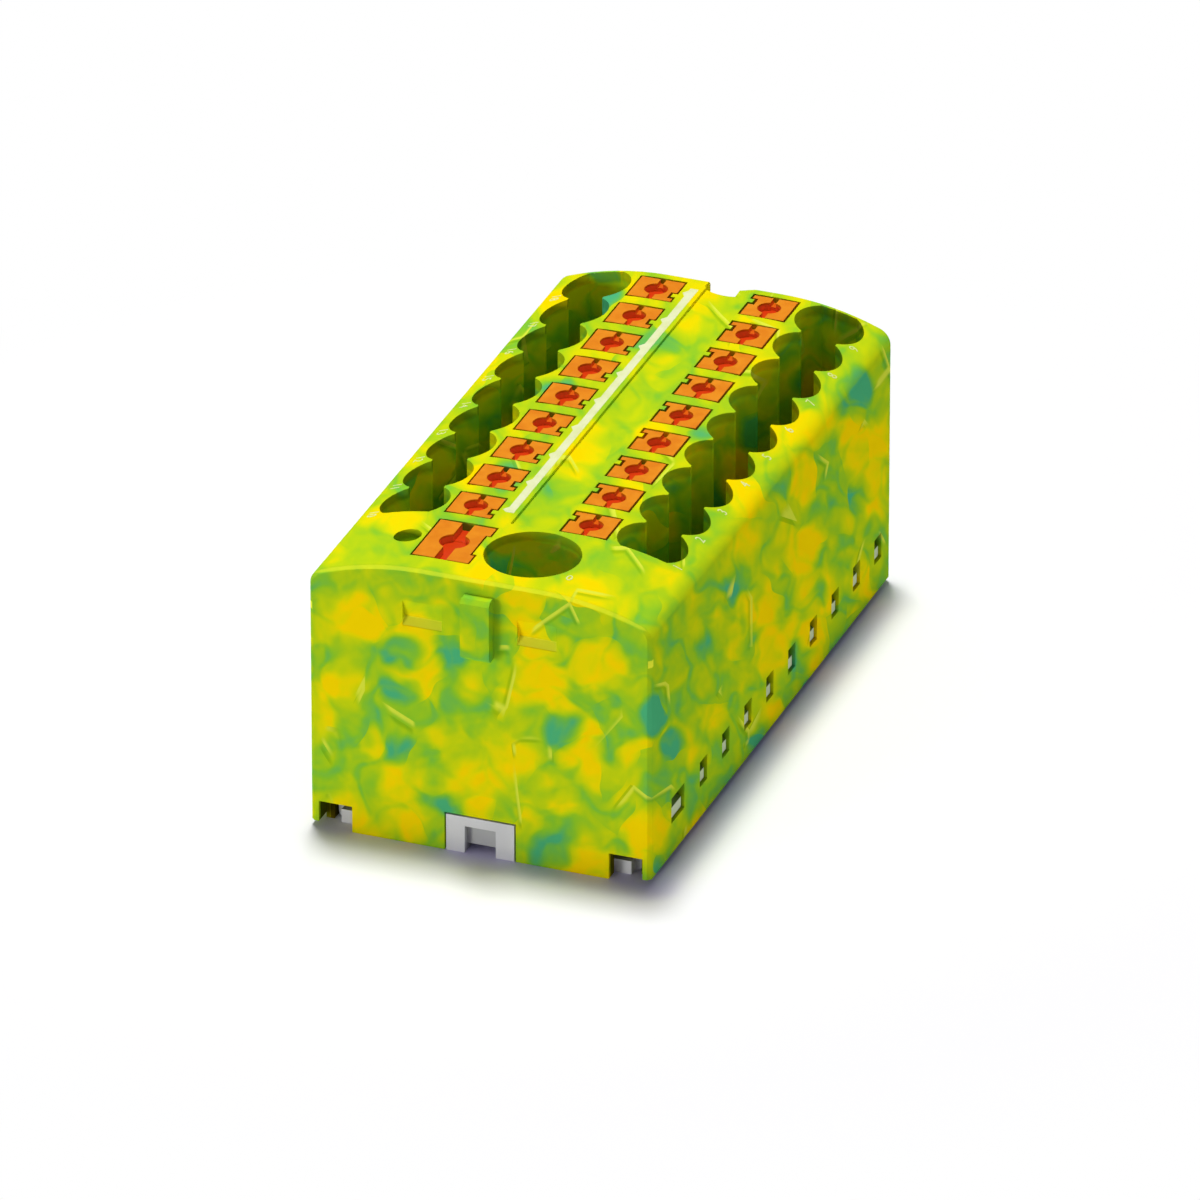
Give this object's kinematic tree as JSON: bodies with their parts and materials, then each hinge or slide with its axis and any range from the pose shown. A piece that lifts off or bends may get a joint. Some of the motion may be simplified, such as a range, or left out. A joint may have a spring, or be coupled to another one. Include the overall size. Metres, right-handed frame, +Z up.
{
  "type": "power distribution block",
  "caption": "Push-in power distribution block: marbled moulded housing with sprung push buttons, scalloped wire funnels, a round supply entry, a busbar and a snap-in base cover",
  "frame": {"origin": "middle of the face that the block stands on, below the middle of the housing's outline", "axes": "+X across the rows, to the supply entry's side; +Y from the supply end to the far end; +Z up"},
  "size_m": [0.0296, 0.058, 0.0252],
  "materials": {
    "housing_plastic": "marbled moulded polyamide",
    "base_plastic": "moulded polyamide",
    "button_plastic": "moulded polyamide",
    "busbar_metal": "tin plated",
    "spring_steel": "bright spring steel"
  },
  "bodies": {
    "block": {"housing": "housing_plastic", "base_cover": "base_plastic", "busbar": "busbar_metal", "supply_spring": "spring_steel", "load_spring_01": "spring_steel", "load_spring_02": "spring_steel", "load_spring_03": "spring_steel", "load_spring_04": "spring_steel", "load_spring_05": "spring_steel", "load_spring_06": "spring_steel", "load_spring_07": "spring_steel", "load_spring_08": "spring_steel", "load_spring_09": "spring_steel", "load_spring_10": "spring_steel", "load_spring_11": "spring_steel", "load_spring_12": "spring_steel", "load_spring_13": "spring_steel", "load_spring_14": "spring_steel", "load_spring_15": "spring_steel", "load_spring_16": "spring_steel", "load_spring_17": "spring_steel", "load_spring_18": "spring_steel"},
    "supply_push": {"supply_button": "button_plastic"},
    "push_01": {"load_button_01": "button_plastic"},
    "push_02": {"load_button_02": "button_plastic"},
    "push_03": {"load_button_03": "button_plastic"},
    "push_04": {"load_button_04": "button_plastic"},
    "push_05": {"load_button_05": "button_plastic"},
    "push_06": {"load_button_06": "button_plastic"},
    "push_07": {"load_button_07": "button_plastic"},
    "push_08": {"load_button_08": "button_plastic"},
    "push_09": {"load_button_09": "button_plastic"},
    "push_10": {"load_button_10": "button_plastic"},
    "push_11": {"load_button_11": "button_plastic"},
    "push_12": {"load_button_12": "button_plastic"},
    "push_13": {"load_button_13": "button_plastic"},
    "push_14": {"load_button_14": "button_plastic"},
    "push_15": {"load_button_15": "button_plastic"},
    "push_16": {"load_button_16": "button_plastic"},
    "push_17": {"load_button_17": "button_plastic"},
    "push_18": {"load_button_18": "button_plastic"}
  },
  "joints": [
    {"name": "supply_press", "type": "slide", "parent": "block", "child": "supply_push", "axis": [0, 0, -1], "range_m": [0, 0.0024], "stiffness_N_per_m": 2500, "springref_m": -0.001, "deforming": ["supply_spring"]},
    {"name": "press_01", "type": "slide", "parent": "block", "child": "push_01", "axis": [0, 0, -1], "range_m": [0, 0.002], "stiffness_N_per_m": 2000, "springref_m": -0.001, "deforming": ["load_spring_01"]},
    {"name": "press_02", "type": "slide", "parent": "block", "child": "push_02", "axis": [0, 0, -1], "range_m": [0, 0.002], "stiffness_N_per_m": 2000, "springref_m": -0.001, "deforming": ["load_spring_02"]},
    {"name": "press_03", "type": "slide", "parent": "block", "child": "push_03", "axis": [0, 0, -1], "range_m": [0, 0.002], "stiffness_N_per_m": 2000, "springref_m": -0.001, "deforming": ["load_spring_03"]},
    {"name": "press_04", "type": "slide", "parent": "block", "child": "push_04", "axis": [0, 0, -1], "range_m": [0, 0.002], "stiffness_N_per_m": 2000, "springref_m": -0.001, "deforming": ["load_spring_04"]},
    {"name": "press_05", "type": "slide", "parent": "block", "child": "push_05", "axis": [0, 0, -1], "range_m": [0, 0.002], "stiffness_N_per_m": 2000, "springref_m": -0.001, "deforming": ["load_spring_05"]},
    {"name": "press_06", "type": "slide", "parent": "block", "child": "push_06", "axis": [0, 0, -1], "range_m": [0, 0.002], "stiffness_N_per_m": 2000, "springref_m": -0.001, "deforming": ["load_spring_06"]},
    {"name": "press_07", "type": "slide", "parent": "block", "child": "push_07", "axis": [0, 0, -1], "range_m": [0, 0.002], "stiffness_N_per_m": 2000, "springref_m": -0.001, "deforming": ["load_spring_07"]},
    {"name": "press_08", "type": "slide", "parent": "block", "child": "push_08", "axis": [0, 0, -1], "range_m": [0, 0.002], "stiffness_N_per_m": 2000, "springref_m": -0.001, "deforming": ["load_spring_08"]},
    {"name": "press_09", "type": "slide", "parent": "block", "child": "push_09", "axis": [0, 0, -1], "range_m": [0, 0.002], "stiffness_N_per_m": 2000, "springref_m": -0.001, "deforming": ["load_spring_09"]},
    {"name": "press_10", "type": "slide", "parent": "block", "child": "push_10", "axis": [0, 0, -1], "range_m": [0, 0.002], "stiffness_N_per_m": 2000, "springref_m": -0.001, "deforming": ["load_spring_10"]},
    {"name": "press_11", "type": "slide", "parent": "block", "child": "push_11", "axis": [0, 0, -1], "range_m": [0, 0.002], "stiffness_N_per_m": 2000, "springref_m": -0.001, "deforming": ["load_spring_11"]},
    {"name": "press_12", "type": "slide", "parent": "block", "child": "push_12", "axis": [0, 0, -1], "range_m": [0, 0.002], "stiffness_N_per_m": 2000, "springref_m": -0.001, "deforming": ["load_spring_12"]},
    {"name": "press_13", "type": "slide", "parent": "block", "child": "push_13", "axis": [0, 0, -1], "range_m": [0, 0.002], "stiffness_N_per_m": 2000, "springref_m": -0.001, "deforming": ["load_spring_13"]},
    {"name": "press_14", "type": "slide", "parent": "block", "child": "push_14", "axis": [0, 0, -1], "range_m": [0, 0.002], "stiffness_N_per_m": 2000, "springref_m": -0.001, "deforming": ["load_spring_14"]},
    {"name": "press_15", "type": "slide", "parent": "block", "child": "push_15", "axis": [0, 0, -1], "range_m": [0, 0.002], "stiffness_N_per_m": 2000, "springref_m": -0.001, "deforming": ["load_spring_15"]},
    {"name": "press_16", "type": "slide", "parent": "block", "child": "push_16", "axis": [0, 0, -1], "range_m": [0, 0.002], "stiffness_N_per_m": 2000, "springref_m": -0.001, "deforming": ["load_spring_16"]},
    {"name": "press_17", "type": "slide", "parent": "block", "child": "push_17", "axis": [0, 0, -1], "range_m": [0, 0.002], "stiffness_N_per_m": 2000, "springref_m": -0.001, "deforming": ["load_spring_17"]},
    {"name": "press_18", "type": "slide", "parent": "block", "child": "push_18", "axis": [0, 0, -1], "range_m": [0, 0.002], "stiffness_N_per_m": 2000, "springref_m": -0.001, "deforming": ["load_spring_18"]}
  ]
}
